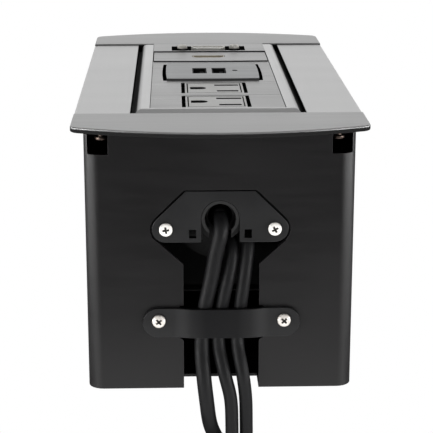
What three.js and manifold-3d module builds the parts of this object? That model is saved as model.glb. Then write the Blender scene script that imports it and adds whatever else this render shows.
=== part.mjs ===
// Flip-over desk power and data box: a black sheet-metal housing that drops into a worktop cut-out, an
// aluminium trim flange, and a barrel-shaped core that turns half a turn about its long axis, so that
// either the sockets or a plain lid lies in the flange. Three cables leave through the front bearing.
//
// Millimetres, +Z up, with the cable end at the front, -Y. The origin is the middle of the housing's
// underside. The assembly is drawn with its heights measured from the flange's seat, the plane that rests
// on the worktop, and the core's pieces are drawn about the core's own axis. Groups place both.
import * as THREE from "three";
import { mergeVertices } from "three/addons/utils/BufferGeometryUtils.js";
import Module from "manifold-3d";

const wasm = await Module();
wasm.setup();

// ---- driving dimensions ----
const GAP = 0.3;                    // clearance between pieces that rest on one another
const OVERCUT = 1;                  // how far a cutter runs past the faces it opens
const FLANGE = { halfWidth: 56, capInner: 84, bowEnd: 120, bowRadius: 141, cornerRadius: 4.5 };
const CAP_EDGE_ROUND = 0.45;
const CAP_THICKNESS = 2.2;
const PANEL = { thickness: 1.5, inner: 34.4, edgeRound: 0.6, hookWidth: 2.3 };
const SEAT_STEP = 0.2;              // the flange is relieved by this much where it covers the housing
const HOUSING = { halfWidth: 51.6, halfLength: 103.9, depth: 103.7, wall: 1.2, corner: 6 };
const WALL_IN = HOUSING.halfLength - HOUSING.wall;
const LIP = { inner: 41, top: -2.2, thickness: 1.2, bite: 0.4 };
const CORNER_NOTCH = { inner: 42.2, outer: 50.1, bottom: -9.6, reach: 7 };
const CAP_SCREW = { x: 44.8, y: 99.2, bossRadius: 3, holeTop: 1.2, length: 4.3 };
const SCREW = { head: 2.55, rim: 0.8, dome: 0.9, shank: 1.3, length: 6, play: 0.2 };
const CROSS = { width: 0.75, depth: 0.9, reach: 1.6 };

const AXIS_Z = -34.8;               // height of the core's axis
const BARREL_RADIUS = 47.6;
const BARREL_SKIN = 1.5;
const CORE = { halfWidth: 32.6, halfHeight: 37.5, halfLength: 83, shoulder: 3, plate: 2.2, disc: 3 };
const SKIN_CORNER = 4;              // the skin's corners are rounded in plan
const END_BEVEL = [[78, 0], [82.2, -1.3], [83, -2.2]];   // distance along Y, drop below the flat top
const WINDOW = { halfWidth: 26.8, halfLength: 77 };
const LEDGE = { height: 1.7, width: 2 };                    // rim below the window that carries the plates
const LUG = { x: 21, half: 3.5, low: 20, z: 23.5, length: 6, holeDepth: 5, screw: 6.5 };
const HUB = { inner: 16.5, outer: 18.5, end: 95, web: 2 };
const JOURNAL = { radius: 5.75, bore: 4.7, end: 99.6, shoulder: 10 };
const EXIT_HOLES = [[3.6, -10.2], [10.6, -7.8]];
const EXIT_RADIUS = 3.3;
const STOP = { radius: 1.6, orbit: 27, play: 0.4, tip: 80.3, head: 3, headHeight: 1.5 };

const BUSH = { inner: 6, outer: 7.2, start: 96.5, end: 104.15, slot: 8.4, play: 0.15 };
const BUSH_FLANGE = { radius: 9.4, thickness: 1.2 };
const BEARING = { topHalf: 13.2, top: -23.9, lugX: 20.8, lugZ: -38.8, lugRadius: 5.3 };
const BEARING_PLATE = { proud: 0.2, thickness: 1.8 };
const BEARING_HOLE = { x: 10.6, half: 1.4, top: -39, bottom: -42.4 };
const RECESS = { gap: 0.8, topGap: 0.35, depth: 1.6, pad: 1.5, padMargin: 2.4 };
const CHANNEL = { x: 0.4, halfWidth: 14.6, top: -52.9, mouthHalf: 25, mouth: -43.3, floorDepth: 11.6 };
const STRAP = { x: 0.4, halfLength: 30.4, top: -70.2, bottom: -82, screwX: 24.2, screwZ: -75.2 };
const STRAP_THICKNESS = 1.5;
const STRAP_BULGE = { half: 15.4, height: 1.9, ramp: 2.6 };
const STRAP_FLARE = { radius: 1.6, below: 1 };              // the channel's rounded corners below the strap
const STRAP_BACK = -HOUSING.halfLength - 0.05;

const CABLE_RADIUS = { power: 2.95, hdmi: 2.6, vga: 2.6 };
const CABLE_TAIL_Z = -142;          // height of the cut end of the longest cable
const CABLE_STEPS = { tail: 26, inner: 14 };

// The core's top face holds the outlets, the charger and the two data sockets. These heights are
// above the core's own axis.
const HALF_HEIGHT_IN = CORE.halfHeight - CORE.plate;        // underside of the frame's top skin
const DISC_HALF_HEIGHT = HALF_HEIGHT_IN - LEDGE.height - 0.4;
const DISC_INNER = CORE.halfLength - CORE.disc;
const MODULE_HALF_WIDTH = WINDOW.halfWidth - 0.2;
const PLATE_BOTTOM = HALF_HEIGHT_IN + 0.1;
const PLATE_TOP = 37.2;
const ABOVE_ALL = 60;               // well above every face of the core
const SEAM = 0.12;                  // half the seam between neighbouring plates
const OPENING_X = -0.4;             // the openings' common centre line
const SOCKETS = [{ y0: -77, y1: -49, centre: -62.6 }, { y0: -49, y1: -20.5, centre: -33.9 }];
const OUTLET = { halfX: 12.2, halfY: 11.2, windowX: 13.7, windowY: 11.6, rise: -0.1, depth: 15 };
const FACE_LINE = { halfX: 11.4, halfY: 10.2, width: 0.5, depth: 0.35 };
const BLADE = { pitch: 12.7, width: 2.6, neutral: [0.3, 10.4], live: [1.1, 10] };
const EARTH = { x: [-10, -3.3], width: 5 };
const BUSBAR = { live: [5, 9.5], neutral: [-1, 3.5], earth: [-9.5, -4.5], half: 2, thickness: 1, contact: 4 };
const USB = { y0: -20.5, y1: 30.4, front: -17, back: 22.6, left: -20.1, right: 19.6, gap: 1.6, bow: 1 };
const USB_RISE = 0.9;
const USB_DEPTH = 12;
const USB_PORTS = { x: [-5.8, 2.8], y: 1.7, openX: 6.2, openY: 13.2, depth: 11, skin: 0.4, play: 0.2 };
const USB_TONGUE = { x0: 0.2, x1: 2, inset: 0.6, drop: 1 };
const LED = { x: 9.9, y: 2.2, radius: 1.2, length: 8, play: 0.1, sunk: 0.6 };
const BOARD = { halfX: 19, front: -16, back: 21.5, thickness: 1.6 };
const HDMI = { y0: 30.4, y1: 54.3, bow: 0.6, halfWidth: 26.3, rise: 0.45, centre: [-0.8, 41.8], depth: 11 };
const HDMI_MOUTH = { width: 14, height: 4.6, skin: 0.4, chamfer: 1.6, play: 0.2 };
const HDMI_TONGUE = { halfX: 5.5, y0: -0.2, y1: 1, drop: 0.6 };
const VGA = { y0: 54.7, y1: 77, rise: 0.9, centreY: 62.6, halfX: 17.6, halfY: 6.4, nutPitch: 25 };
const VGA_SHELL = { halfX: 8.2, halfY: 3.8, lean: 1, radius: 2, skin: 0.6, proud: 0.6, depth: 9 };
const VGA_FLANGE = { halfX: 15.6, halfY: 6.2, thickness: 1.2, hole: 1.7 };
const VGA_PINS = { radius: 0.5, pitch: 2.29, row: 1.98, stagger: 0.76, depth: 3 };
const NUT = { hex: 2.75, crown: 2.2, stem: 1.4, thread: 0.9, proud: 1.6, collar: 0.8 };

// ---- materials ----
function finish(color, roughness, metalness) {
  return new THREE.MeshStandardMaterial({ color, roughness, metalness });
}

const BLACK_PAINT = finish(0x1d1e20, 0.55, 0.2);
const BLACK_PLASTIC = finish(0x202123, 0.6, 0);
const ALUMINIUM = finish(0xb9bbbd, 0.35, 0.9);
const CAP_METAL = finish(0x9ea0a3, 0.4, 0.8);
const PLATE_METAL = finish(0xa6a8aa, 0.4, 0.8);
const NICKEL = finish(0xe4ded2, 0.25, 1);
const BLACK_OXIDE = finish(0x2a2523, 0.4, 0.8);
const BRASS = finish(0xc9a552, 0.3, 1);
const ACETAL = finish(0x2b2c2e, 0.45, 0);
const CABLE_JACKET = finish(0x17181a, 0.5, 0);
const BOARD_GREEN = finish(0x1f5a34, 0.6, 0);
const LED_LENS = finish(0x8fb4d8, 0.2, 0);

// ---- solids ----
function solid(geometry) {
  const bare = geometry.clone();
  bare.deleteAttribute("normal");
  bare.deleteAttribute("uv");
  const merged = mergeVertices(bare, 1e-4);
  const vertProperties = new Float32Array(merged.attributes.position.array);
  const triVerts = new Uint32Array(merged.index.array);
  return new wasm.Manifold(new wasm.Mesh({ numProp: 3, vertProperties, triVerts }));
}

function toGeometry(manifold) {
  const mesh = manifold.getMesh();
  const geometry = new THREE.BufferGeometry();
  geometry.setAttribute("position", new THREE.BufferAttribute(mesh.vertProperties, 3));
  geometry.setIndex(new THREE.BufferAttribute(mesh.triVerts, 1));
  geometry.computeVertexNormals();
  return geometry;
}

const cutAll = (body, cutters) => cutters.reduce((left, cutter) => left.subtract(cutter), body);
const joinAll = (bodies) => bodies.reduce((joined, body) => joined.add(body));

function box(x0, x1, y0, y1, z0, z1) {
  const geometry = new THREE.BoxGeometry(x1 - x0, y1 - y0, z1 - z0);
  return solid(geometry.translate((x0 + x1) / 2, (y0 + y1) / 2, (z0 + z1) / 2));
}

function cylinder(radius, length, segments = 24) {
  return new THREE.CylinderGeometry(radius, radius, length, segments);
}

// A cylinder along Y from y0 to y1, centred on (x, z).
function rodY(radius, y0, y1, x = 0, z = 0, segments = 24) {
  return solid(cylinder(radius, y1 - y0, segments).translate(x, (y0 + y1) / 2, z));
}

// A cylinder along Z from z0 to z1, centred on (x, y).
function rodZ(radius, z0, z1, x = 0, y = 0, segments = 24) {
  return solid(cylinder(radius, z1 - z0, segments).rotateX(Math.PI / 2).translate(x, y, (z0 + z1) / 2));
}

// The outline's corners, without the doubled points where two arcs meet.
function corners(shape, curveSegments) {
  const all = shape.getPoints(curveSegments);
  return all.filter((point, i) => point.distanceTo(all[(i + 1) % all.length]) > 1e-3);
}

// An outline extruded along +Z, with its edges rounded by `round`.
function extruded(shape, length, round, curveSegments) {
  return new THREE.ExtrudeGeometry(new THREE.Shape(corners(shape, curveSegments)), {
    depth: length - 2 * round, bevelEnabled: round > 0, bevelThickness: round, bevelSize: round,
    bevelOffset: -round, bevelSegments: 2,
  });
}

// A plan outline (x, y) extruded from z0 up to z1.
function plate(shape, z0, z1, round = 0, curveSegments = 4) {
  return solid(extruded(shape, z1 - z0, round, curveSegments).translate(0, 0, z0 + round));
}

// A front-view outline (x, z) extruded from y0 back to y1.
function slab(shape, y0, y1, round = 0, curveSegments = 4) {
  const geometry = extruded(shape, y1 - y0, round, curveSegments);
  return solid(geometry.rotateX(Math.PI / 2).translate(0, y1 - round, 0));
}

// ---- outlines ----
function polygon(points) {
  return new THREE.Shape(points.map(([x, y]) => new THREE.Vector2(x, y)));
}

function roundedRect(x0, x1, y0, y1, r) {
  const shape = new THREE.Shape();
  shape.absarc(x1 - r, y0 + r, r, -Math.PI / 2, 0);
  shape.absarc(x1 - r, y1 - r, r, 0, Math.PI / 2);
  shape.absarc(x0 + r, y1 - r, r, Math.PI / 2, Math.PI);
  shape.absarc(x0 + r, y0 + r, r, Math.PI, 1.5 * Math.PI);
  return shape;
}

// A flange end: straight inner edge, parallel sides, rounded corners and a bowed outer edge.
function capOutline() {
  const { halfWidth, capInner, bowEnd, bowRadius, cornerRadius } = FLANGE;
  const bowCentre = bowRadius - bowEnd;
  const cornerX = halfWidth - cornerRadius;
  const cornerY = bowCentre - Math.sqrt((bowRadius - cornerRadius) ** 2 - cornerX ** 2);
  const tangent = Math.atan2(cornerY - bowCentre, cornerX);
  const shape = new THREE.Shape();
  shape.absarc(-cornerX, cornerY, cornerRadius, Math.PI, Math.PI - tangent);
  shape.absarc(0, bowCentre, bowRadius, Math.PI - tangent, 2 * Math.PI + tangent);
  shape.absarc(cornerX, cornerY, cornerRadius, tangent, 0);
  shape.lineTo(halfWidth, -capInner);
  shape.lineTo(-halfWidth, -capInner);
  return shape;
}

// The bearing plate's outline: flat top, sloping sides, round lugs and a flat bottom, grown by `grow`.
function bearingOutline(grow = 0) {
  const { topHalf, top, lugX, lugZ, lugRadius } = BEARING;
  const toCorner = new THREE.Vector2(topHalf - lugX, top - lugZ);
  const tangent = toCorner.angle() - Math.acos(lugRadius / toCorner.length());
  const cornerX = topHalf + grow * Math.tan(Math.PI / 4 - tangent / 2);
  const r = lugRadius + grow;
  const shape = new THREE.Shape();
  shape.absarc(-lugX, lugZ, r, Math.PI - tangent, 1.5 * Math.PI);
  shape.absarc(lugX, lugZ, r, -Math.PI / 2, tangent);
  shape.lineTo(cornerX, top + grow);
  shape.lineTo(-cornerX, top + grow);
  return shape;
}

// The core's cross-section between two heights on the barrel's circle.
function barrelSlice(radius, halfHeight) {
  const angle = Math.asin(halfHeight / radius);
  const shape = new THREE.Shape();
  shape.absarc(0, 0, radius, -angle, angle);
  shape.absarc(0, 0, radius, Math.PI - angle, Math.PI + angle);
  return shape;
}

// A strip that follows the barrel's circle on one side, from -angle to +angle.
function barrelStrip(inner, outer, halfHeight, side) {
  const middle = side > 0 ? 0 : Math.PI;
  const outerAngle = Math.asin(halfHeight / outer);
  const innerAngle = Math.asin(halfHeight / inner);
  const shape = new THREE.Shape();
  shape.absarc(0, 0, outer, middle - outerAngle, middle + outerAngle);
  shape.absarc(0, 0, inner, middle + innerAngle, middle - innerAngle, true);
  return shape;
}

// ---- scene graph ----
const group = new THREE.Group();
const assembly = new THREE.Group();
assembly.position.z = HOUSING.depth;
group.add(assembly);
const core = new THREE.Group();
core.position.z = AXIS_Z;
assembly.add(core);

function part(parent, name, shape, material) {
  const geometry = shape instanceof THREE.BufferGeometry ? shape : toGeometry(shape);
  const mesh = new THREE.Mesh(geometry, material);
  mesh.name = name;
  parent.add(mesh);
  return mesh;
}

// ---- fasteners ----
// A pan-head screw with a crossed recess, its head above the XY plane and its shank below.
function panScrew(length = SCREW.length, segments = 12) {
  const { head, rim, dome, shank } = SCREW;
  const profile = [[0, -length], [shank, -length], [shank, 0], [head, 0], [head, rim]];
  profile.push([head * Math.SQRT1_2, rim + dome * Math.SQRT1_2], [0, rim + dome]);
  const points = profile.map(([x, y]) => new THREE.Vector2(x, y));
  const body = solid(new THREE.LatheGeometry(points, segments).rotateX(Math.PI / 2));
  const half = CROSS.width / 2;
  const low = rim + dome - CROSS.depth;
  const high = rim + dome + OVERCUT;
  const slotX = box(-CROSS.reach, CROSS.reach, -half, half, low, high);
  const slotY = box(-half, half, -CROSS.reach, CROSS.reach, low, high);
  return cutAll(body, [slotX, slotY]);
}

// Places a screw with its head facing the given direction.
function placeScrew(parent, name, [x, y, z], facing, length, material = NICKEL) {
  const mesh = part(parent, name, panScrew(length), material);
  const turns = { front: [Math.PI / 2, 0, 0], back: [-Math.PI / 2, 0, 0], down: [Math.PI, 0, 0] };
  mesh.rotation.set(...turns[facing]);
  mesh.position.set(x, y, z);
}

// A hole for a screw's shank along Y.
function screwHoleY(x, z, y0, y1) {
  return rodY(SCREW.shank + SCREW.play, y0, y1, x, z, 12);
}

// ---- housing ----
// A small square hole beside the bush, through the front wall and its bearing plate.
function bearingHole(side, y0, y1) {
  const { x, half, top, bottom } = BEARING_HOLE;
  return box(side * x - half, side * x + half, y0, y1, bottom, top);
}

// What both end walls have: a recessed seat for the bearing plate on a pad inside, the hole for the
// bush, and a notch at each upper corner. Drawn at the front, and turned half round for the rear.
function endWallFeatures(end) {
  const face = HOUSING.halfLength;
  const out = -face - OVERCUT;
  const turned = (body) => (end < 0 ? body : body.rotate([0, 0, 180]));
  const pad = slab(bearingOutline(RECESS.padMargin), -WALL_IN, -WALL_IN + RECESS.pad);
  const { lugX, lugZ, lugRadius, top } = BEARING;
  const span = lugX + lugRadius + RECESS.gap;
  const below = box(-span, span, out, 0, lugZ - lugRadius - RECESS.gap, top + RECESS.topGap);
  const recess = slab(bearingOutline(RECESS.gap), out, -face + RECESS.depth).intersect(below);
  const padBack = -WALL_IN + RECESS.pad + OVERCUT;
  const cuts = [recess, rodY(BUSH.outer + BUSH.play, out, padBack, 0, AXIS_Z, 24)];
  for (const side of [-1, 1]) {
    cuts.push(screwHoleY(side * lugX, lugZ, out, padBack));
    const { inner, outer, bottom, reach } = CORNER_NOTCH;
    const notchX = [side * inner, side * outer].sort((a, b) => a - b);
    cuts.push(box(...notchX, out, -face + reach, bottom, OVERCUT));
    if (end < 0) {
      cuts.push(bearingHole(side, out, padBack));
    }
  }
  return { pad: turned(pad), cuts: cuts.map(turned) };
}

// The way out for the cables: a funnel below the bush, a channel down to the housing's bottom edge
// whose corners flare below the strap, and a notch in the floor.
function cableOpening() {
  const face = HOUSING.halfLength;
  const y0 = -face - OVERCUT;
  const y1 = -WALL_IN + RECESS.pad + OVERCUT;
  const { halfWidth, top, mouthHalf, mouth, floorDepth } = CHANNEL;
  const lip = { z: mouth - 0.2, inset: 3 };
  const half = BUSH.outer;
  const right = [
    [halfWidth, STRAP.bottom], [halfWidth, top], [mouthHalf, mouth],
    [mouthHalf - lip.inset, lip.z], [half, lip.z], [half, AXIS_Z],
  ];
  const left = right.map(([x, z]) => [-x, z]).reverse();
  const { radius, below } = STRAP_FLARE;
  const flareX = halfWidth + radius;
  const flareZ = STRAP.bottom - below - radius;
  const flare = new THREE.Shape();
  flare.absarc(-flareX, flareZ, radius, Math.PI / 2, 0, true);
  flare.absarc(flareX, flareZ, radius, Math.PI, Math.PI / 2, true);
  flare.lineTo(flareX, STRAP.top + 0.5);
  flare.lineTo(-flareX, STRAP.top + 0.5);
  const bottom = -HOUSING.depth;
  const cutters = [
    slab(polygon([...right, ...left]), y0, y1),
    slab(flare, y0, y1),
    box(-halfWidth, halfWidth, y0, y1, bottom - OVERCUT, STRAP.bottom),
    box(-halfWidth, halfWidth, y0, -face + floorDepth, bottom - OVERCUT, bottom + HOUSING.wall + OVERCUT),
  ];
  return cutters.map((cutter) => cutter.translate([CHANNEL.x, 0, 0]));
}

function housingShell() {
  const { halfWidth, halfLength, depth, wall, corner } = HOUSING;
  const outer = plate(roundedRect(-halfWidth, halfWidth, -halfLength, halfLength, corner), -depth, 0, 0, 3);
  const inX = halfWidth - wall;
  const inside = roundedRect(-inX, inX, -WALL_IN, WALL_IN, corner - wall);
  const open = outer.subtract(plate(inside, wall - depth, OVERCUT, 0, 3));
  const lipBottom = LIP.top - LIP.thickness;
  const lipX = inX + LIP.bite;
  const lipY = WALL_IN + LIP.bite;
  const lipOutline = roundedRect(-lipX, lipX, -lipY, lipY, corner - wall);
  const lips = plate(lipOutline, lipBottom, LIP.top, 0, 3)
    .subtract(box(-LIP.inner, LIP.inner, -halfLength, halfLength, lipBottom - OVERCUT, 0));
  const front = endWallFeatures(-1);
  const rear = endWallFeatures(1);
  const cuts = [...front.cuts, ...rear.cuts, ...cableOpening()];
  const holeRadius = SCREW.shank + SCREW.play;
  for (const side of [-1, 1]) {
    const strapX = STRAP.x + side * STRAP.screwX;
    cuts.push(screwHoleY(strapX, STRAP.screwZ, -halfLength - OVERCUT, OVERCUT - WALL_IN));
    for (const end of [-1, 1]) {
      const x = side * CAP_SCREW.x;
      cuts.push(rodZ(holeRadius, lipBottom - OVERCUT, LIP.top + OVERCUT, x, end * CAP_SCREW.y, 12));
    }
  }
  const stopZ = AXIS_Z - STOP.orbit;
  cuts.push(rodY(STOP.radius + SCREW.play, WALL_IN - OVERCUT, halfLength + OVERCUT, 0, stopZ, 16));
  return cutAll(joinAll([open, lips, front.pad, rear.pad]), cuts);
}

function stopPin() {
  const { radius, tip, head, headHeight } = STOP;
  const face = HOUSING.halfLength;
  const shank = rodY(radius, tip, face + headHeight / 2, 0, 0, 16);
  return shank.add(rodY(head, face, face + headHeight, 0, 0, 20));
}

// A flange end rests on the worktop with its rim, and two bosses under it stand on the housing's lips.
function endCap() {
  const edge = HOUSING.halfWidth + SEAT_STEP;
  const relief = box(-edge, edge, -HOUSING.halfLength - SEAT_STEP, 0, -OVERCUT, SEAT_STEP);
  const cap = [plate(capOutline(), 0, CAP_THICKNESS, CAP_EDGE_ROUND, 6).subtract(relief)];
  const holes = [];
  const { x, y, bossRadius, holeTop } = CAP_SCREW;
  for (const side of [-1, 1]) {
    cap.push(rodZ(bossRadius, LIP.top + 0.05, CAP_THICKNESS / 2, side * x, -y, 20));
    holes.push(rodZ(SCREW.shank + 0.1, LIP.top - OVERCUT, holeTop, side * x, -y, 12));
  }
  return cutAll(joinAll(cap), holes);
}

// A side panel has a rounded outer edge, and a rib that hooks inside the housing's lip.
function sidePanel() {
  const { thickness, inner, edgeRound, hookWidth } = PANEL;
  const relief = HOUSING.halfWidth + SEAT_STEP;
  const outer = FLANGE.halfWidth;
  const hookBottom = LIP.top - LIP.thickness;
  const hookOuter = LIP.inner - GAP;
  const shape = polygon([
    [inner, SEAT_STEP], [hookOuter - hookWidth, SEAT_STEP], [hookOuter - hookWidth, hookBottom],
    [hookOuter, hookBottom], [hookOuter, SEAT_STEP], [relief, SEAT_STEP], [relief, 0],
    [outer - edgeRound / 2, 0], [outer, edgeRound / 2],
  ]);
  shape.absarc(outer - edgeRound, thickness - edgeRound, edgeRound, 0, Math.PI / 2);
  shape.lineTo(inner, thickness);
  const half = FLANGE.capInner - GAP;
  return slab(shape, -half, half, 0, 3);
}

function bearingPlate(isFront) {
  const face = -HOUSING.halfLength - BEARING_PLATE.proud;
  const back = face + BEARING_PLATE.thickness;
  const out = face - OVERCUT;
  const through = back + OVERCUT;
  const half = BUSH.outer + BUSH.play;
  const cuts = [rodY(half, out, through, 0, AXIS_Z, 24)];
  for (const side of [-1, 1]) {
    cuts.push(screwHoleY(side * BEARING.lugX, BEARING.lugZ, out, through));
    if (isFront) {
      cuts.push(bearingHole(side, out, through));
    }
  }
  if (isFront) {
    const below = BEARING.lugZ - BEARING.lugRadius - OVERCUT;
    cuts.push(box(-half, half, out, through, below, AXIS_Z));
  }
  return cutAll(slab(bearingOutline(), face, back, 0.25, 5), cuts);
}

// The bush is a ring with a back flange; the front one is open below, where the cables drop out.
function bush(isFront) {
  const { inner, outer, start, end, slot } = BUSH;
  const { radius: flange, thickness } = BUSH_FLANGE;
  const wallBack = -WALL_IN + RECESS.pad + 0.1;
  const ring = rodY(outer, -end, -start, 0, 0, 24);
  const collar = rodY(flange, wallBack, wallBack + thickness, 0, 0, 24);
  const cuts = [rodY(inner, -end - OVERCUT, -start + OVERCUT, 0, 0, 24)];
  if (isFront) {
    cuts.push(box(-slot / 2, slot / 2, -end - OVERCUT, -start + OVERCUT, -flange - OVERCUT, 0));
  }
  return cutAll(ring.add(collar), cuts);
}

// The strap clamps the cables: round ends flat on the wall, and a middle that bulges out over them.
function cableStrap() {
  const { halfLength, top, bottom, screwX, screwZ } = STRAP;
  const { half, height, ramp } = STRAP_BULGE;
  const end = halfLength + OVERCUT;
  const plan = (y) => [
    [-end, y], [-half - ramp, y], [-half, y - height], [half, y - height], [half + ramp, y], [end, y],
  ];
  const outline = polygon([...plan(STRAP_BACK), ...plan(STRAP_BACK - STRAP_THICKNESS).reverse()]);
  const out = STRAP_BACK - STRAP_THICKNESS - height - OVERCUT;
  const through = STRAP_BACK + OVERCUT;
  const endRadius = (top - bottom) / 2 - 0.01;
  const face = slab(roundedRect(-halfLength, halfLength, bottom, top, endRadius), out, through, 0, 5);
  const holes = [-1, 1].map((side) => screwHoleY(side * screwX, screwZ, out, through));
  return cutAll(plate(outline, bottom, top).intersect(face), holes);
}

part(assembly, "housing_shell", housingShell(), BLACK_PAINT);
part(assembly, "front_end_cap", endCap(), CAP_METAL);
part(assembly, "rear_end_cap", endCap(), CAP_METAL).rotation.z = Math.PI;
part(assembly, "side_panel_right", sidePanel(), ALUMINIUM);
part(assembly, "side_panel_left", sidePanel(), ALUMINIUM).rotation.z = Math.PI;
part(assembly, "front_bearing_plate", bearingPlate(true), BLACK_PLASTIC);
part(assembly, "rear_bearing_plate", bearingPlate(false), BLACK_PLASTIC).rotation.z = Math.PI;
part(assembly, "front_bush", bush(true), ACETAL).position.z = AXIS_Z;
const rearBush = part(assembly, "rear_bush", bush(false), ACETAL);
rearBush.rotation.z = Math.PI;
rearBush.position.z = AXIS_Z;
part(assembly, "cable_strap", cableStrap(), BLACK_PLASTIC).position.x = STRAP.x;
part(assembly, "stop_pin", stopPin(), NICKEL).position.z = AXIS_Z - STOP.orbit;

for (const [side, hand] of [[-1, "left"], [1, "right"]]) {
  const bearingFace = HOUSING.halfLength + BEARING_PLATE.proud;
  const lugX = side * BEARING.lugX;
  placeScrew(assembly, `front_bearing_screw_${hand}`, [lugX, -bearingFace, BEARING.lugZ], "front");
  placeScrew(assembly, `rear_bearing_screw_${hand}`, [lugX, bearingFace, BEARING.lugZ], "back");
  const strapScrew = [STRAP.x + side * STRAP.screwX, STRAP_BACK - STRAP_THICKNESS, STRAP.screwZ];
  placeScrew(assembly, `strap_screw_${hand}`, strapScrew, "front", 4.5);
  for (const [end, place] of [[-1, "front"], [1, "rear"]]) {
    const at = [side * CAP_SCREW.x, end * CAP_SCREW.y, LIP.top - LIP.thickness];
    placeScrew(assembly, `${place}_cap_screw_${hand}`, at, "down", CAP_SCREW.length, BLACK_OXIDE);
  }
}

// ---- turning core ----
// The skin's section has a flat top and a rounded shoulder on each side.
function skinOutline() {
  const { halfWidth, halfHeight, shoulder } = CORE;
  const centreZ = halfHeight - shoulder;
  const low = Math.asin((HALF_HEIGHT_IN - centreZ) / shoulder);
  const shape = new THREE.Shape();
  shape.absarc(halfWidth - shoulder, centreZ, shoulder, low, Math.PI / 2);
  shape.absarc(shoulder - halfWidth, centreZ, shoulder, Math.PI / 2, Math.PI - low);
  return shape;
}

// A side-view outline (y, z) extruded across X from -half to +half.
function acrossX(shape, half) {
  const geometry = new THREE.ExtrudeGeometry(shape, { depth: 2 * half, bevelEnabled: false });
  return solid(geometry.rotateX(Math.PI / 2).rotateZ(Math.PI / 2).translate(-half, 0, 0));
}

// The skin slopes down at its ends too, so its corners are mitred.
function skin() {
  const rear = END_BEVEL.map(([y, drop]) => [y, CORE.halfHeight + drop]);
  const front = rear.map(([y, z]) => [-y, z]).reverse();
  const ends = acrossX(polygon([...front, ...rear].reverse()), CORE.halfWidth + OVERCUT);
  const { halfWidth, halfLength } = CORE;
  const plan = roundedRect(-halfWidth, halfWidth, -halfLength, halfLength, SKIN_CORNER);
  const whole = slab(skinOutline(), -halfLength, halfLength, 0, 3).intersect(ends);
  return whole.intersect(plate(plan, 0, ABOVE_ALL, 0, 3));
}

// Calls make(x, end) for each of the four corners of the core.
function atCorners(make) {
  return [-1, 1].flatMap((side) => [-1, 1].map((end) => make(side * LUG.x, end)));
}

function endLugs() {
  return atCorners((x, end) => {
    const y0 = end > 0 ? DISC_INNER - GAP - LUG.length : GAP - DISC_INNER;
    return box(x - LUG.half, x + LUG.half, y0, y0 + LUG.length, LUG.low, HALF_HEIGHT_IN + 0.2);
  });
}

function lugHoles(z) {
  const deep = DISC_INNER - GAP - LUG.holeDepth;
  const out = CORE.halfLength + OVERCUT;
  return atCorners((x, end) => {
    const [y0, y1] = end > 0 ? [deep, out] : [-out, -deep];
    return screwHoleY(x, z, y0, y1);
  });
}

// The frame is the open top skin, on a rim that carries the plates, with a lug at each corner.
function coreFrame() {
  const { halfWidth, halfLength } = WINDOW;
  const ledgeX = halfWidth - LEDGE.width;
  const ledgeY = halfLength - LEDGE.width;
  const rimX = CORE.halfWidth - 1;
  const rimY = DISC_INNER - GAP;
  const rim = box(-rimX, rimX, -rimY, rimY, HALF_HEIGHT_IN - LEDGE.height, HALF_HEIGHT_IN + 0.2);
  const window = box(-halfWidth, halfWidth, -halfLength, halfLength, HALF_HEIGHT_IN, ABOVE_ALL);
  const opening = box(-ledgeX, ledgeX, -ledgeY, ledgeY, 0, ABOVE_ALL);
  const body = skin().add(rim).subtract(opening);
  return cutAll(joinAll([body, ...endLugs()]), [window, ...lugHoles(LUG.z)]);
}

// The lid is the plain face that comes up when the core is turned over. A peg on each of its lugs
// stands in a hole in the end disc.
function coreLid() {
  const pegs = atCorners((x, end) => {
    const y0 = end > 0 ? DISC_INNER - GAP - 1 : GAP - CORE.halfLength;
    return rodY(SCREW.shank, y0, y0 + CORE.disc + 1, x, LUG.z, 12);
  });
  return joinAll([skin(), ...endLugs(), ...pegs]).rotate([0, 180, 0]);
}

// The front end disc carries a wide hollow hub and, on its web, the narrow hollow journal.
function coreEndFront() {
  const { inner, outer, end, web } = HUB;
  const disc = slab(barrelSlice(BARREL_RADIUS, DISC_HALF_HEIGHT), -CORE.halfLength, -DISC_INNER, 0, 6);
  const hub = rodY(outer, -end, -DISC_INNER, 0, 0, 24);
  const journal = rodY(JOURNAL.radius, -JOURNAL.end, 1 - end, 0, 0, 24);
  const cuts = [
    rodY(inner, web - end, 0, 0, 0, 24),
    rodY(JOURNAL.bore, -JOURNAL.end - OVERCUT, 0, 0, 0, 24),
    ...EXIT_HOLES.map(([x, z]) => rodY(EXIT_RADIUS, -end - OVERCUT, 0, x, z, 16)),
    ...lugHoles(LUG.z),
    ...lugHoles(-LUG.z),
  ];
  return cutAll(joinAll([disc, hub, journal]), cuts);
}

// The rear end disc carries a solid pivot and a half-ring slot that runs along the stop pin.
function coreEndRear() {
  const disc = slab(barrelSlice(BARREL_RADIUS, DISC_HALF_HEIGHT), DISC_INNER, CORE.halfLength, 0, 6);
  const shoulder = rodY(JOURNAL.shoulder, CORE.halfLength - 1, HUB.end, 0, 0, 24);
  const pivot = rodY(JOURNAL.radius, HUB.end - 1, JOURNAL.end, 0, 0, 24);
  const half = STOP.radius + STOP.play;
  const slot = new THREE.Shape();
  slot.absarc(0, 0, STOP.orbit + half, -Math.PI / 2, Math.PI / 2);
  slot.absarc(0, STOP.orbit, half, Math.PI / 2, 1.5 * Math.PI);
  slot.absarc(0, 0, STOP.orbit - half, Math.PI / 2, -Math.PI / 2, true);
  slot.absarc(0, -STOP.orbit, half, Math.PI / 2, 1.5 * Math.PI);
  const slotCut = slab(slot, DISC_INNER - OVERCUT, CORE.halfLength + OVERCUT, 0, 6);
  return cutAll(joinAll([disc, shoulder, pivot]), [slotCut, ...lugHoles(LUG.z), ...lugHoles(-LUG.z)]);
}

function coreShell(side) {
  const strip = barrelStrip(BARREL_RADIUS - BARREL_SKIN, BARREL_RADIUS, DISC_HALF_HEIGHT, side);
  return slab(strip, GAP - DISC_INNER, DISC_INNER - GAP, 0, 6);
}

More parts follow.
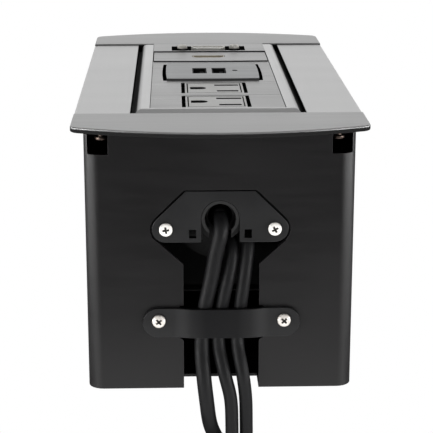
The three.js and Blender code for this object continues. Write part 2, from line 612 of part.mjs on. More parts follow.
part(core, "core_frame", coreFrame(), ALUMINIUM);
part(core, "core_lid", coreLid(), ALUMINIUM);
part(core, "core_shell_left", coreShell(-1), BLACK_PLASTIC);
part(core, "core_shell_right", coreShell(1), BLACK_PLASTIC);
part(core, "core_end_front", coreEndFront(), BLACK_PLASTIC);
part(core, "core_end_rear", coreEndRear(), BLACK_PLASTIC);

for (const [end, place, facing] of [[-1, "front", "front"], [1, "rear", "back"]]) {
  for (const [side, hand] of [[-1, "left"], [1, "right"]]) {
    const at = [side * LUG.x, end * CORE.halfLength, LUG.z];
    placeScrew(core, `${place}_core_screw_${hand}`, at, facing, LUG.screw);
  }
}

// ---- socket plates and what they hold ----
function modulePlate(y0, y1, top, cuts) {
  const half = MODULE_HALF_WIDTH;
  return cutAll(box(-half, half, y0 + SEAM, y1 - SEAM, PLATE_BOTTOM, top), cuts);
}

// One outlet's moulded body: two blade slots, a D-shaped earth hole and a groove round its face.
function outletBody() {
  const top = PLATE_TOP + OUTLET.rise;
  const low = top - OUTLET.depth;
  const { halfX, halfY } = OUTLET;
  const { pitch, width, neutral, live } = BLADE;
  const blade = ([x0, x1], y) => box(x0, x1, y - width / 2, y + width / 2, low - OVERCUT, top + OVERCUT);
  const r = EARTH.width / 2;
  const earthShape = new THREE.Shape();
  earthShape.absarc(EARTH.x[1] - r, 0, r, -Math.PI / 2, Math.PI / 2);
  earthShape.lineTo(EARTH.x[0], r);
  earthShape.lineTo(EARTH.x[0], -r);
  const ring = (x, y, z0, z1) => box(-x, x, -y, y, z0, z1);
  const line = FACE_LINE;
  const groove = ring(line.halfX, line.halfY, top - line.depth, top + OVERCUT)
    .subtract(ring(line.halfX - line.width, line.halfY - line.width, 0, ABOVE_ALL));
  const earth = plate(earthShape, low - OVERCUT, top + OVERCUT);
  const cuts = [groove, blade(neutral, pitch / 2), blade(live, -pitch / 2), earth];
  return cutAll(ring(halfX, halfY, low, top), cuts);
}

SOCKETS.forEach(({ y0, y1, centre }, index) => {
  const { windowX, windowY } = OUTLET;
  const [x0, x1] = [OPENING_X - windowX, OPENING_X + windowX];
  const window = box(x0, x1, centre - windowY, centre + windowY, 0, ABOVE_ALL);
  part(core, `socket_plate_${index + 1}`, modulePlate(y0, y1, PLATE_TOP, [window]), PLATE_METAL);
  part(core, `outlet_${index + 1}`, outletBody(), BLACK_PLASTIC).position.set(OPENING_X, centre, 0);
});

// A busbar runs under both outlets, with a contact block under each slot.
function busbar([x0, x1], y) {
  const { half, thickness, contact } = BUSBAR;
  const top = PLATE_TOP + OUTLET.rise - OUTLET.depth - GAP;
  const first = SOCKETS[0].centre + y;
  const last = SOCKETS[1].centre + y;
  const bar = box(x0, x1, first - half, last + half, top - thickness, top);
  const blocks = [first, last].map((at) => box(x0, x1, at - half, at + half, top - contact, top));
  return joinAll([bar, ...blocks]);
}
part(core, "live_busbar", busbar(BUSBAR.live, -BLADE.pitch / 2), BRASS);
part(core, "neutral_busbar", busbar(BUSBAR.neutral, BLADE.pitch / 2), BRASS);
part(core, "earth_busbar", busbar(BUSBAR.earth, 0), BRASS);

// The charger's raised face has bowed ends and a bowed front edge.
function usbOutline(grow) {
  const edge = grow > 0 ? 0.25 : 0;
  const { bow } = USB;
  const left = USB.left - grow;
  const right = USB.right + grow;
  const front = USB.front - edge;
  const back = USB.back + edge;
  const shape = new THREE.Shape();
  shape.moveTo(left, front);
  shape.quadraticCurveTo((left + right) / 2, front - bow, right, front);
  shape.quadraticCurveTo(right + bow, (front + back) / 2, right, back);
  shape.lineTo(left, back);
  shape.quadraticCurveTo(left - bow, (front + back) / 2, left, front);
  return shape;
}

const USB_TOP = PLATE_TOP + USB_RISE;

function usbModule() {
  const { x: ports, y, openX, openY } = USB_PORTS;
  const cuts = ports.map((x) => {
    return box(x - openX / 2, x + openX / 2, y - openY / 2, y + openY / 2, 0, ABOVE_ALL);
  });
  cuts.push(rodZ(LED.radius + LED.play, 0, ABOVE_ALL, LED.x, LED.y, 16));
  return cutAll(plate(usbOutline(0), USB_TOP - USB_DEPTH, USB_TOP, 0, 8), cuts);
}

// A port is a folded metal can, open at the top, with the contact tongue standing in it.
function usbPort() {
  const { openX, openY, depth, skin: metal, play } = USB_PORTS;
  const top = USB_TOP - GAP;
  const low = top - depth;
  const x = openX / 2 - play;
  const y = openY / 2 - play;
  const inside = box(metal - x, x - metal, metal - y, y - metal, low + 1, ABOVE_ALL);
  const { x0, x1, inset, drop } = USB_TONGUE;
  const tongueY = y - metal - inset;
  const tongue = box(x0, x1, -tongueY, tongueY, low + 0.5, top - drop);
  return box(-x, x, -y, y, low, top).subtract(inside).add(tongue);
}

// The rear edge of the charger's plate and the front edge of the next one share a shallow bow.
function bowedEdge(y) {
  const half = MODULE_HALF_WIDTH + OVERCUT;
  const shape = new THREE.Shape();
  shape.moveTo(-half, y);
  shape.quadraticCurveTo(0, y - 2 * HDMI.bow, half, y);
  shape.lineTo(half, y + HDMI.y1);
  shape.lineTo(-half, y + HDMI.y1);
  return plate(shape, 0, ABOVE_ALL, 0, 8);
}

const usbWindow = plate(usbOutline(USB.gap), 0, ABOVE_ALL, 0, 8);
const usbCuts = [usbWindow, bowedEdge(USB.y1 - SEAM)];
part(core, "usb_plate", modulePlate(USB.y0, USB.y1 + SEAM, PLATE_TOP, usbCuts), PLATE_METAL);
part(core, "usb_module", usbModule(), BLACK_PLASTIC);
USB_PORTS.x.forEach((x, index) => {
  part(core, `usb_port_${index + 1}`, usbPort(), BLACK_PLASTIC).position.set(x, USB_PORTS.y, 0);
});
const ledTop = USB_TOP - LED.sunk;
part(core, "power_led", rodZ(LED.radius, ledTop - LED.length, ledTop, LED.x, LED.y, 16), LED_LENS);
const boardTop = USB_TOP - USB_DEPTH - GAP;
const { halfX: boardX, front: boardFront, back: boardBack, thickness: boardThickness } = BOARD;
const board = box(-boardX, boardX, boardFront, boardBack, boardTop - boardThickness, boardTop);
part(core, "usb_board", board, BOARD_GREEN);

// ---- data plates ----
const HDMI_TOP = PLATE_TOP + HDMI.rise;
const VGA_TOP = PLATE_TOP + VGA.rise;

// The tapered D of an HDMI mouth, wide at the back, grown by `grow`.
function taperedOutline(grow) {
  const w = HDMI_MOUTH.width / 2 + grow;
  const h = HDMI_MOUTH.height / 2 + grow;
  const c = HDMI_MOUTH.chamfer + grow / 2;
  return polygon([[c - w, -h], [w - c, -h], [w, c - h], [w, h], [-w, h], [-w, c - h]]);
}

function hdmiPlate() {
  const { y0, y1, bow, halfWidth, centre } = HDMI;
  const blank = box(-halfWidth, halfWidth, y0 - bow, y1 - SEAM, PLATE_BOTTOM, HDMI_TOP);
  const opening = plate(taperedOutline(HDMI_MOUTH.skin + HDMI_MOUTH.play), 0, ABOVE_ALL);
  return blank.intersect(bowedEdge(y0 + SEAM)).subtract(opening.translate([...centre, 0]));
}

function hdmiPort() {
  const top = HDMI_TOP;
  const low = top - HDMI.depth;
  const mouth = plate(taperedOutline(0), low + 1, top + OVERCUT);
  const { halfX, y0, y1, drop } = HDMI_TONGUE;
  const tongue = box(-halfX, halfX, y0, y1, low + 0.5, top - drop);
  return plate(taperedOutline(HDMI_MOUTH.skin), low, top).subtract(mouth).add(tongue);
}

part(core, "hdmi_plate", hdmiPlate(), PLATE_METAL);
part(core, "hdmi_port", hdmiPort(), BRASS).position.set(...HDMI.centre, 0);

// The D-shaped outline of a fifteen-pin video socket, grown by `grow`.
function shellOutline(grow) {
  const { halfX, halfY, lean, radius: r } = VGA_SHELL;
  const w = halfX + grow;
  const h = halfY + grow;
  const tilt = 0.14;
  const shape = new THREE.Shape();
  shape.absarc(w - r - lean, r - h, r, -Math.PI / 2, -tilt);
  shape.absarc(w - r, h - r, r, -tilt, Math.PI / 2);
  shape.absarc(r - w, h - r, r, Math.PI / 2, Math.PI + tilt);
  shape.absarc(r - w + lean, r - h, r, Math.PI + tilt, 1.5 * Math.PI);
  return shape;
}

const FLANGE_TOP = PLATE_BOTTOM - GAP;      // the video socket's flange lies below the plate

// The socket's bright shell stands on its flange, up through the cut-out.
function vgaPort() {
  const top = VGA_TOP + VGA_SHELL.proud;
  const inner = plate(shellOutline(-VGA_SHELL.skin), 0, ABOVE_ALL, 0, 3);
  return plate(shellOutline(0), FLANGE_TOP + 0.1, top, 0, 3).subtract(inner);
}

// The moulded insulator: a flange, a body below it and the block of contacts inside the shell.
function vgaInsert() {
  const { halfX, halfY, thickness, hole } = VGA_FLANGE;
  const flange = box(-halfX, halfX, -halfY, halfY, FLANGE_TOP - thickness, FLANGE_TOP);
  const body = plate(shellOutline(0), FLANGE_TOP - VGA_SHELL.depth, FLANGE_TOP - 0.5, 0, 3);
  const top = VGA_TOP + VGA_SHELL.proud - GAP;
  const block = plate(shellOutline(-VGA_SHELL.skin - GAP), FLANGE_TOP - 1, top, 0, 3);
  const cuts = [-1, 1].map((side) => rodZ(hole, 0, FLANGE_TOP + 1, (side * VGA.nutPitch) / 2, 0, 12));
  const { radius, pitch, row, stagger, depth } = VGA_PINS;
  for (let line = -1; line <= 1; line += 1) {
    for (let i = -2; i <= 2; i += 1) {
      cuts.push(rodZ(radius, top - depth, top + OVERCUT, i * pitch + line * stagger, line * row, 6));
    }
  }
  return cutAll(joinAll([flange, body, block]), cuts);
}

// A jack nut: hexagonal foot, round threaded post.
function jackNut() {
  const foot = FLANGE_TOP + 0.1;
  const top = VGA_TOP + NUT.proud;
  const hex = rodZ(NUT.hex, foot, top - NUT.collar, 0, 0, 6);
  const crown = rodZ(NUT.crown, foot, top, 0, 0, 16);
  const stem = rodZ(NUT.stem, foot - 4, foot + 1, 0, 0, 12);
  return joinAll([hex, crown, stem]).subtract(rodZ(NUT.thread, top - 3, top + OVERCUT, 0, 0, 12));
}

const { halfX: cutX, halfY: cutY, centreY } = VGA;
const vgaOpening = box(OPENING_X - cutX, OPENING_X + cutX, centreY - cutY, centreY + cutY, 0, ABOVE_ALL);
part(core, "vga_plate", modulePlate(VGA.y0, VGA.y1, VGA_TOP, [vgaOpening]), PLATE_METAL);
part(core, "vga_port", vgaPort(), NICKEL).position.set(OPENING_X, centreY, 0);
part(core, "vga_insert", vgaInsert(), BLACK_PLASTIC).position.set(OPENING_X, centreY, 0);
for (const [side, hand] of [[-1, "left"], [1, "right"]]) {
  const x = OPENING_X + (side * VGA.nutPitch) / 2;
  part(core, `vga_nut_${hand}`, jackNut(), NICKEL).position.set(x, centreY, 0);
}

// ---- cables ----
function cable(points, radius, steps) {
  const extrudePath = new THREE.CatmullRomCurve3(points.map(([x, y, z]) => new THREE.Vector3(x, y, z)));
  const section = new THREE.Shape();
  section.absarc(0, 0, radius, 0, 2 * Math.PI);
  return new THREE.ExtrudeGeometry(section, { steps, extrudePath, curveSegments: 4, bevelEnabled: false });
}

// Outside the core: each run is held by the strap, so it stays with the housing. Below the housing the
// power cable turns aside behind the other two.
const STRAP_Y = 1.15 - HOUSING.halfLength;
const TAIL_Y = -HOUSING.halfLength - 3;
const TAILS = {
  power: [
    [0, -98.7, AXIS_Z], [0.2, -101, AXIS_Z - 0.4], [0.6, -103.4, -37.4], [0.1, -104.2, -41.4],
    [-1.4, -103.6, -47], [-3.6, STRAP_Y, -60], [-5.8, STRAP_Y, -70], [-7.2, STRAP_Y, -84.5],
    [-6.6, TAIL_Y, -97], [-5.2, TAIL_Y, -110], [-4.2, TAIL_Y + 1.5, -118], [-1.5, TAIL_Y + 5, -126],
    [3, TAIL_Y + 7.6, -133], [9, TAIL_Y + 8.2, CABLE_TAIL_Z + 2],
  ],
  hdmi: [
    [3.6, -96, AXIS_Z - 10.2], [3.8, -97.6, -45.4], [4.9, -99.7, -48.2], [4.2, -101.2, -53.5],
    [2.6, STRAP_Y, -61], [0.8, STRAP_Y, -70], [-0.8, STRAP_Y, -84.5], [1.4, TAIL_Y, -96],
    [4, TAIL_Y, -107], [4.5, TAIL_Y, -118], [4.6, TAIL_Y, -127], [5, TAIL_Y, CABLE_TAIL_Z + 4],
  ],
  vga: [
    [10.6, -96, AXIS_Z - 7.8], [10.8, -97.6, -43.1], [11, -99.2, -46], [10.2, -101.2, -53],
    [8.4, STRAP_Y, -66], [6.6, STRAP_Y, -84.5], [8.4, TAIL_Y, -95], [9.9, TAIL_Y + 0.8, -107],
    [10.2, TAIL_Y + 1.6, -118], [10.4, TAIL_Y + 1.8, -128], [11, TAIL_Y + 1.8, CABLE_TAIL_Z],
  ],
};
for (const [name, points] of Object.entries(TAILS)) {
  part(assembly, `${name}_cable`, cable(points, CABLE_RADIUS[name], CABLE_STEPS.tail), CABLE_JACKET);
}

// Inside the core: each run turns with it, from the journal or the hub to its own socket.
const OUTLET_WIRE_Z = PLATE_TOP + OUTLET.rise - OUTLET.depth - 9;
const INNER_RUNS = {
  power: [[0, -98, 0], [0, -90, 0], [0, -80, 2], [-1, -64, 9], [-1, -50, OUTLET_WIRE_Z]],
  hdmi: [
    [3.6, -95, -10.2], [3.6, -86, -10.2], [2, -40, -8], [-0.8, 20, 0], [-0.8, 38, 12], [-0.8, 41.8, 24],
  ],
  vga: [
    [10.6, -95, -7.8], [10.6, -86, -7.8], [12, -30, -8], [4, 40, 0], [0, 58, 10], [-0.4, 62.6, 22],
  ],
};
for (const [name, points] of Object.entries(INNER_RUNS)) {
  part(core, `${name}_inner_run`, cable(points, CABLE_RADIUS[name], CABLE_STEPS.inner), CABLE_JACKET);
}

export default group;
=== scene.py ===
import math

import bmesh
import bpy
from mathutils import Matrix, Vector


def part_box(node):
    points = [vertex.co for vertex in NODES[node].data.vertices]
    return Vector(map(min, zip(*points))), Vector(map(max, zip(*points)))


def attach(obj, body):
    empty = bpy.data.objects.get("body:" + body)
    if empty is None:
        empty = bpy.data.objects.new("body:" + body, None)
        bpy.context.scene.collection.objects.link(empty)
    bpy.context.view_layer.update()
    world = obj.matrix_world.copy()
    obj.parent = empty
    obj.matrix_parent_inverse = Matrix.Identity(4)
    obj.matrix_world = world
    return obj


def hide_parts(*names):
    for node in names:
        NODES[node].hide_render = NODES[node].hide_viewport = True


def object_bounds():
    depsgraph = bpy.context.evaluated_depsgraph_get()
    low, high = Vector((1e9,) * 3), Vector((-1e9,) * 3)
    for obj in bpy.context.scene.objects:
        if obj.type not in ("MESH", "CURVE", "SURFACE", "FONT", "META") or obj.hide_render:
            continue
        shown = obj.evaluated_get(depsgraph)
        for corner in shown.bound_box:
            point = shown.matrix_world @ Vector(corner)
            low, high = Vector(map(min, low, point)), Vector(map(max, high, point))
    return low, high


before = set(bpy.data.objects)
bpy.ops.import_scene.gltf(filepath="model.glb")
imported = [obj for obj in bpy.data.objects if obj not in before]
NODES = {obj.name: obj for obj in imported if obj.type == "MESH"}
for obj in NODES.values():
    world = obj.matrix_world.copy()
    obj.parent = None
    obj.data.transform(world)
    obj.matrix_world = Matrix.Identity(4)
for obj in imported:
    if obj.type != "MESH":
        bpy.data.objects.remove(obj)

# A power box that drops into a worktop: a black housing under a brushed flange, and a core of sockets that
# turns over inside it. Most pieces keep their CAD shape and get a material and soft edges. The screws, the
# cables and the strap are built again, finer, in the same places.

CAD_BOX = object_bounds()
MM = 0.001
WELD_GAP = 0.005 * MM
HOUSING_LOW, HOUSING_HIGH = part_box("housing_shell")
FRONT = HOUSING_LOW.y                   # outer face of the front end wall
SEAT = HOUSING_HIGH.z                   # plane on which the flange rests


# ---------------------------------------------------------------- small helpers
def new_object(name, bm):
    """A mesh object from a bmesh, linked to the scene."""
    mesh = bpy.data.meshes.new(name)
    bm.to_mesh(mesh)
    bm.free()
    obj = bpy.data.objects.new(name, mesh)
    bpy.context.scene.collection.objects.link(obj)
    return obj


def smooth_group(limit_degrees):
    """A geometry node group that shades smooth across edges flatter than the limit."""
    name = f"smooth_under_{limit_degrees}"
    if name in bpy.data.node_groups:
        return bpy.data.node_groups[name]
    group = bpy.data.node_groups.new(name, "GeometryNodeTree")
    group.interface.new_socket("Geometry", in_out="INPUT", socket_type="NodeSocketGeometry")
    group.interface.new_socket("Geometry", in_out="OUTPUT", socket_type="NodeSocketGeometry")
    start = group.nodes.new("NodeGroupInput")
    end = group.nodes.new("NodeGroupOutput")
    faces = group.nodes.new("GeometryNodeSetShadeSmooth")
    edges = group.nodes.new("GeometryNodeSetShadeSmooth")
    edges.domain = "EDGE"
    angle = group.nodes.new("GeometryNodeInputMeshEdgeAngle")
    compare = group.nodes.new("FunctionNodeCompare")
    compare.operation = "LESS_THAN"
    compare.inputs["B"].default_value = math.radians(limit_degrees)
    link = group.links.new
    link(start.outputs[0], faces.inputs["Geometry"])
    link(faces.outputs[0], edges.inputs["Geometry"])
    link(angle.outputs["Unsigned Angle"], compare.inputs["A"])
    link(compare.outputs[0], edges.inputs["Shade Smooth"])
    link(edges.outputs[0], end.inputs[0])
    return group


def soften(obj, edge, limit_degrees=35):
    """Welds, rounds the sharp edges by `edge` metres, and smooths the shading of what is left."""
    if obj.data.has_custom_normals:
        obj.data.attributes.remove(obj.data.attributes["custom_normal"])
    weld = obj.modifiers.new("weld", "WELD")
    weld.merge_threshold = WELD_GAP
    if edge > 0:
        bevel = obj.modifiers.new("edge", "BEVEL")
        bevel.width = edge
        bevel.segments = 2
        bevel.limit_method = "ANGLE"
        bevel.angle_limit = math.radians(limit_degrees)
        bevel.use_clamp_overlap = True
    smooth = obj.modifiers.new("smooth", "NODES")
    smooth.node_group = smooth_group(limit_degrees)
    normals = obj.modifiers.new("flat faces", "WEIGHTED_NORMAL")
    normals.keep_sharp = True


def dress(node, material, edge=0.12 * MM):
    """Gives a carried-over CAD node its material and soft edges."""
    obj = NODES[node]
    obj.data.materials.clear()
    obj.data.materials.append(material)
    soften(obj, edge)


# ---------------------------------------------------------------- materials
class Shader:
    """A node material under construction, with one line for each kind of node."""

    def __init__(self, name):
        self.material = bpy.data.materials.new(name)
        self.material.use_nodes = True
        self.tree = self.material.node_tree
        self.bsdf = self.tree.nodes["Principled BSDF"]
        self.place = self.add("ShaderNodeTexCoord").outputs["Object"]

    def add(self, kind, **values):
        node = self.tree.nodes.new(kind)
        for key, value in values.items():
            setattr(node, key, value)
        return node

    def link(self, source, target):
        self.tree.links.new(source, target)

    def drive(self, name, source):
        """Feeds one of the surface's inputs, such as "Roughness", from a node."""
        self.link(source, self.bsdf.inputs[name])

    def even(self, value, low, high):
        """Maps the middle of a noise's range onto low to high."""
        return self.ramp(value, 0.3, 0.7, low, high)

    def noise(self, scale, detail=3, roughness=0.5):
        """Noise over the object's own metres; scale is one number or three, in cycles per metre."""
        mapping = self.add("ShaderNodeMapping")
        mapping.inputs["Scale"].default_value = scale if isinstance(scale, tuple) else (scale,) * 3
        self.link(self.place, mapping.inputs["Vector"])
        texture = self.add("ShaderNodeTexNoise")
        texture.inputs["Scale"].default_value = 1
        texture.inputs["Detail"].default_value = detail
        texture.inputs["Roughness"].default_value = roughness
        self.link(mapping.outputs[0], texture.inputs["Vector"])
        return texture.outputs["Fac"]

    def ramp(self, value, low, high, out_low=0.0, out_high=1.0):
        node = self.add("ShaderNodeMapRange")
        for key, number in (("From Min", low), ("From Max", high), ("To Min", out_low), ("To Max", out_high)):
            node.inputs[key].default_value = number
        self.link(value, node.inputs["Value"])
        return node.outputs["Result"]

    def math(self, operation, a, b):
        node = self.add("ShaderNodeMath", operation=operation)
        for socket, value in zip(node.inputs, (a, b)):
            if isinstance(value, (int, float)):
                socket.default_value = value
            else:
                self.link(value, socket)
        return node.outputs[0]

    def shade(self, colour, *factors):
        """A colour multiplied by each of the factors."""
        value = factors[0]
        for factor in factors[1:]:
            value = self.math("MULTIPLY", value, factor)
        node = self.add("ShaderNodeMix", data_type="RGBA", blend_type="MULTIPLY")
        node.inputs["Factor"].default_value = 1
        node.inputs["A"].default_value = (*colour, 1)
        self.link(value, node.inputs["B"])
        return node.outputs["Result"]

    def blend(self, amount, a, b):
        """Colour a where amount is 0, colour b where it is 1."""
        node = self.add("ShaderNodeMix", data_type="RGBA")
        self.link(amount, node.inputs["Factor"])
        for key, value in (("A", a), ("B", b)):
            if isinstance(value, tuple):
                node.inputs[key].default_value = (*value, 1)
            else:
                self.link(value, node.inputs[key])
        return node.outputs["Result"]

    def bump(self, height, distance, strength):
        node = self.add("ShaderNodeBump")
        node.inputs["Distance"].default_value = distance
        node.inputs["Strength"].default_value = strength
        self.link(height, node.inputs["Height"])
        self.link(node.outputs[0], self.bsdf.inputs["Normal"])

    def edges(self, radius):
        """1 on a sharp edge, falling off within the radius, and 0 on flat faces."""
        bevel = self.add("ShaderNodeBevel", samples=4)
        bevel.inputs["Radius"].default_value = radius
        geometry = self.add("ShaderNodeNewGeometry")
        dot = self.add("ShaderNodeVectorMath", operation="DOT_PRODUCT")
        self.link(bevel.outputs[0], dot.inputs[0])
        self.link(geometry.outputs["Normal"], dot.inputs[1])
        return self.ramp(dot.outputs["Value"], 1.0, 0.8)


def brushed_metal(name, colour, along, streak, grain=0.05, drift=0.03, roughness=0.34, metallic=0.75):
    """Anodised metal brushed along one axis: fine streaks in tone, gloss and height over a base whose
    tone drifts slowly across it."""
    shader = Shader(name)
    streaks = shader.noise(tuple(45.0 if axis == along else 5200.0 for axis in "xyz"), detail=2)
    bands = shader.noise(tuple(14.0 if axis == along else 900.0 for axis in "xyz"), detail=2)
    clouds = shader.noise(tuple(45.0 if axis == along else 12.0 for axis in "xyz"), detail=1)
    speckle = shader.noise(2600.0, detail=1)
    tone = shader.shade(
        colour,
        shader.ramp(streaks, 0.25, 0.75, 1 - streak, 1 + streak),
        shader.ramp(bands, 0.25, 0.75, 1 - streak / 2, 1 + streak / 2),
        shader.even(clouds, 1 - drift, 1 + drift),
        shader.ramp(speckle, 0.25, 0.75, 1 - grain, 1 + grain),
    )
    shader.drive("Base Color", tone)
    spread = 1.5 * streak
    dull = shader.math("ADD", streaks, bands)
    shader.drive("Roughness", shader.ramp(dull, 0.6, 1.4, roughness - spread, roughness + spread))
    shader.bump(shader.math("ADD", streaks, speckle), 0.01 * MM, 0.35)
    shader.bsdf.inputs["Metallic"].default_value = metallic
    return shader


def powder_coat(name, colour, roughness, depth):
    """Baked fine-texture paint: pebbled height, uneven gloss and a painted highlight that makes the edges
    lighter.
    """
    shader = Shader(name)
    pebble = shader.noise(1900.0, detail=3, roughness=0.6)
    clouds = shader.noise(18.0, detail=4)
    scuffs = shader.noise((30.0, 30.0, 240.0), detail=4, roughness=0.7)
    tone = shader.shade(
        colour,
        shader.even(pebble, 0.82, 1.18),
        shader.even(clouds, 0.9, 1.1),
        shader.ramp(scuffs, 0.35, 0.8, 0.96, 1.1),
    )
    # painted highlight: within 0.4 mm of a sharp edge the colour goes up to 0.6 of the way to six times as
    # light
    edge_highlight = shader.ramp(shader.edges(0.4 * MM), 0, 1, 0, 0.6)
    lighter = tuple(6 * c for c in colour)
    shader.drive("Base Color", shader.blend(edge_highlight, tone, lighter))
    dull = shader.math("ADD", clouds, scuffs)
    shader.drive("Roughness", shader.ramp(dull, 0.7, 1.3, roughness - 0.05, roughness + 0.07))
    shader.bump(pebble, depth, 0.6)
    return shader


def moulded(name, colour, roughness, metallic=0.0):
    """Moulded plastic with a spark-eroded skin, faint flow marks and uneven gloss."""
    shader = Shader(name)
    spark = shader.noise(3200.0, detail=2, roughness=0.6)
    flow = shader.noise((60.0, 22.0, 60.0), detail=3)
    tone = shader.shade(colour, shader.even(spark, 0.9, 1.1), shader.even(flow, 0.93, 1.07))
    shader.drive("Base Color", tone)
    shader.drive("Roughness", shader.even(flow, roughness - 0.04, roughness + 0.06))
    shader.bump(spark, 0.012 * MM, 0.5)
    shader.bsdf.inputs["Metallic"].default_value = metallic
    return shader


def plated(name, colour, roughness, metallic=1.0):
    """Plated metal with fine turning marks and small dull spots."""
    shader = Shader(name)
    marks = shader.noise(4200.0, detail=2)
    dull = shader.noise(600.0, detail=3, roughness=0.6)
    tone = shader.shade(colour, shader.even(marks, 0.93, 1.05), shader.ramp(dull, 0.35, 0.7, 1.03, 0.9))
    shader.drive("Base Color", tone)
    shader.drive("Roughness", shader.ramp(dull, 0.35, 0.7, roughness, roughness + 0.14))
    shader.bump(marks, 0.004 * MM, 0.5)
    shader.bsdf.inputs["Metallic"].default_value = metallic
    return shader


def jacket(name, colour, roughness):
    """Extruded cable jacket: drawn lines along the cable, soft mottling, dust and a satin skin."""
    shader = Shader(name)
    drawn = shader.noise((3600.0, 3600.0, 90.0), detail=2)
    mottle = shader.noise(420.0, detail=3, roughness=0.6)
    dust = shader.noise(5200.0, detail=1)
    tone = shader.shade(colour, shader.even(mottle, 0.85, 1.2), shader.even(drawn, 0.92, 1.08))
    flecks = shader.ramp(dust, 0.72, 0.8, 0, 0.25)
    shader.drive("Base Color", shader.blend(flecks, tone, (0.12, 0.12, 0.12)))
    shader.drive("Roughness", shader.even(mottle, roughness - 0.05, roughness + 0.1))
    shader.bump(shader.math("ADD", drawn, mottle), 0.02 * MM, 0.5)
    return shader


def deep(material, axis, face, dark, fade=0.08 * MM):
    """Turns a material matt and the colour `dark` past a face of the piece; with a dark colour this paints
    the shade that falls inside a hole or down a step.
    `axis` is the way in from the face, such as "-z", and the change takes `fade` metres."""
    tree = material.node_tree
    bsdf = tree.nodes["Principled BSDF"]
    place = tree.nodes.new("ShaderNodeTexCoord")
    split = tree.nodes.new("ShaderNodeSeparateXYZ")
    tree.links.new(place.outputs["Object"], split.inputs[0])
    ramp = tree.nodes.new("ShaderNodeMapRange")
    inward = -1 if axis[0] == "-" else 1
    ramp.inputs["From Min"].default_value = face + inward * fade
    ramp.inputs["From Max"].default_value = face
    tree.links.new(split.outputs[axis[-1].upper()], ramp.inputs["Value"])
    source = bsdf.inputs["Base Color"].links[0].from_socket
    mix = tree.nodes.new("ShaderNodeMix")
    mix.data_type = "RGBA"
    mix.inputs["A"].default_value = (*dark, 1)
    tree.links.new(ramp.outputs["Result"], mix.inputs["Factor"])
    tree.links.new(source, mix.inputs["B"])
    tree.links.new(mix.outputs["Result"], bsdf.inputs["Base Color"])
    for name in ("Metallic", "Specular IOR Level"):
        socket = bsdf.inputs[name]
        scale = tree.nodes.new("ShaderNodeMath")
        scale.operation = "MULTIPLY"
        scale.inputs[1].default_value = socket.default_value
        tree.links.new(ramp.outputs["Result"], scale.inputs[0])
        if socket.is_linked:
            tree.links.new(socket.links[0].from_socket, scale.inputs[1])
        tree.links.new(scale.outputs[0], socket)
    return material


def set_gloss(material, level):
    """Sets how strongly a black surface mirrors the studio."""
    material.node_tree.nodes["Principled BSDF"].inputs["Specular IOR Level"].default_value = level


def top_of(node):
    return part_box(node)[1].z


def grey(level):
    return (level, level, level)


BLACK = grey(0.003)
CUT = grey(0.02)                        # painted shade in the cut-outs through the outlets' plastic
PLATE_CUT = grey(0.015)                 # painted shade in the cut-outs and down the steps of the plates
SHADE = grey(0.02)                      # the flange's edges, which face the dim room
STEP = 0.06 * MM                        # depth below the top at which painted shade starts on the core's top pieces
END_SLOPE = 4.9 * MM                    # the core skin's ends slope over this length
PAINT_BLACK = (0.0050, 0.0046, 0.0049)
HOUSING_PAINT = powder_coat("housing_paint", PAINT_BLACK, roughness=0.42, depth=0.012 * MM).material
set_gloss(HOUSING_PAINT, 0.31)
CORE_BLACK = moulded("core_black", grey(0.010), roughness=0.8).material
set_gloss(CORE_BLACK, 0.15)
BUSH_PLASTIC = moulded("bush_plastic", grey(0.0045), roughness=0.7).material
NICKEL = plated("nickel", (0.76, 0.72, 0.67), roughness=0.34, metallic=0.35).material
# a lit copy of the nickel: painted lighter, white and not metallic, so the bearing screws' heads look
# brightly lit
LIT_NICKEL = plated("lit_nickel", (1.0, 0.97, 0.92), roughness=0.3, metallic=0.0).material
SHELL_METAL = plated("shell_metal", (1.0, 0.98, 0.92), roughness=0.4, metallic=0.2).material
BLACK_OXIDE = plated("black_oxide", (0.13, 0.10, 0.085), roughness=0.35).material
BRASS = plated("brass", (0.66, 0.60, 0.48), roughness=0.4, metallic=0.6).material
CABLE = jacket("cable_jacket", (0.0065, 0.0065, 0.007), roughness=0.46).material
set_gloss(CABLE, 0.15)
BOARD = moulded("board", (0.02, 0.12, 0.045), roughness=0.35).material
LENS = moulded("led_lens", BLACK, roughness=0.5).material
INSULATOR = moulded("insulator", (0.92, 0.9, 0.85), roughness=0.5).material
# painted shade: the insert turns black 0.8 mm below its top, inside its holes
deep(INSULATOR, "-z", top_of("vga_insert") - 0.8 * MM, BLACK)


def plate_metal(node, colour=grey(0.31), edge=PLATE_CUT):
    """Brushed across the width, with painted shade in the cut-outs and down the steps."""
    metal = brushed_metal(node, colour, along="x", streak=0.06, grain=0.04, drift=0.09).material
    return deep(metal, "-z", top_of(node) - STEP, edge)


# the housing, its flange and its bearings
dress("housing_shell", HOUSING_PAINT, 0.25 * MM)
for end in ("front", "rear"):
    cap = brushed_metal(f"{end}_cap_metal", grey(0.29), along="x", streak=0.03, grain=0.03).material
    deep(cap, "-z", top_of(f"{end}_end_cap") - 0.35 * MM, SHADE, 0.4 * MM)
    dress(f"{end}_end_cap", cap, 0.1 * MM)
    bearing = moulded(f"{end}_bearing_plastic", (0.0115, 0.0115, 0.012), roughness=0.42).material
    set_gloss(bearing, 0.33)
    low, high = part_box(f"{end}_bearing_plate")
    # painted shade: black from 0.4 mm behind the plate's outer face, inside its hole and along its sides
    if end == "front":
        deep(bearing, "+y", low.y + 0.4 * MM, BLACK)
    else:
        deep(bearing, "-y", high.y - 0.4 * MM, BLACK)
    dress(f"{end}_bearing_plate", bearing, 0.08 * MM)
    dress(f"{end}_bush", BUSH_PLASTIC, 0.15 * MM)
    dress(f"core_end_{end}", CORE_BLACK, 0.15 * MM)
